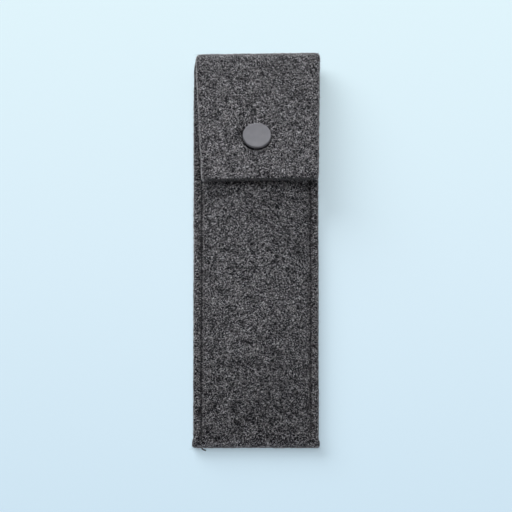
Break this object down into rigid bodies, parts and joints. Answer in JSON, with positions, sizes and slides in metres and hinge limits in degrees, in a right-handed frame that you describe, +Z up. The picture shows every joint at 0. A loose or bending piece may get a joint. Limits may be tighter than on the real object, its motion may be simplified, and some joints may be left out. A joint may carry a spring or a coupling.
{
  "type": "single pen sleeve",
  "caption": "Flat felt pocket for a pen, sewn along both sides, with a fold-over flap closed by a round snap.",
  "frame": {"origin": "middle of the back panel's underside, which lies flat", "axes": "+X to the right across the sleeve seen from the front, +Y along it towards the top fold, +Z up out of the front"},
  "size_m": [0.0482, 0.168, 0.0168],
  "materials": {
    "felt": "pressed wool felt, dark grey marl, matte and slightly hairy",
    "thread": "twisted black sewing thread",
    "snap": "moulded grey resin, matte"
  },
  "bodies": {
    "pocket": {"back_panel": "felt", "bottom_fold": "felt", "front_panel": "felt", "left_seam_front_thread": "thread", "left_seam_back_thread": "thread", "right_seam_front_thread": "thread", "right_seam_back_thread": "thread", "snap_stud": "snap", "stud_post_cap": "snap"},
    "fold": {"top_fold": "felt"},
    "flap": {"flap_panel": "felt", "snap_cap": "snap", "snap_socket": "snap"}
  },
  "joints": [
    {"name": "fold_lower_bend", "type": "hinge", "parent": "pocket", "child": "fold", "pos_m": [0.00078, 0.08257, 0.00227], "axis": [-0.9998, -0.0175, 0], "range_deg": [0, 85.5], "deforming": ["top_fold"]},
    {"name": "fold_upper_bend", "type": "hinge", "parent": "fold", "child": "flap", "pos_m": [0.00078, 0.08298, 0.01], "axis": [-0.9998, -0.0175, 0], "range_deg": [0, 85.5], "deforming": ["top_fold"]}
  ],
  "couplings": [
    {"joint": "fold_upper_bend", "follows": "fold_lower_bend", "ratio": 1}
  ]
}
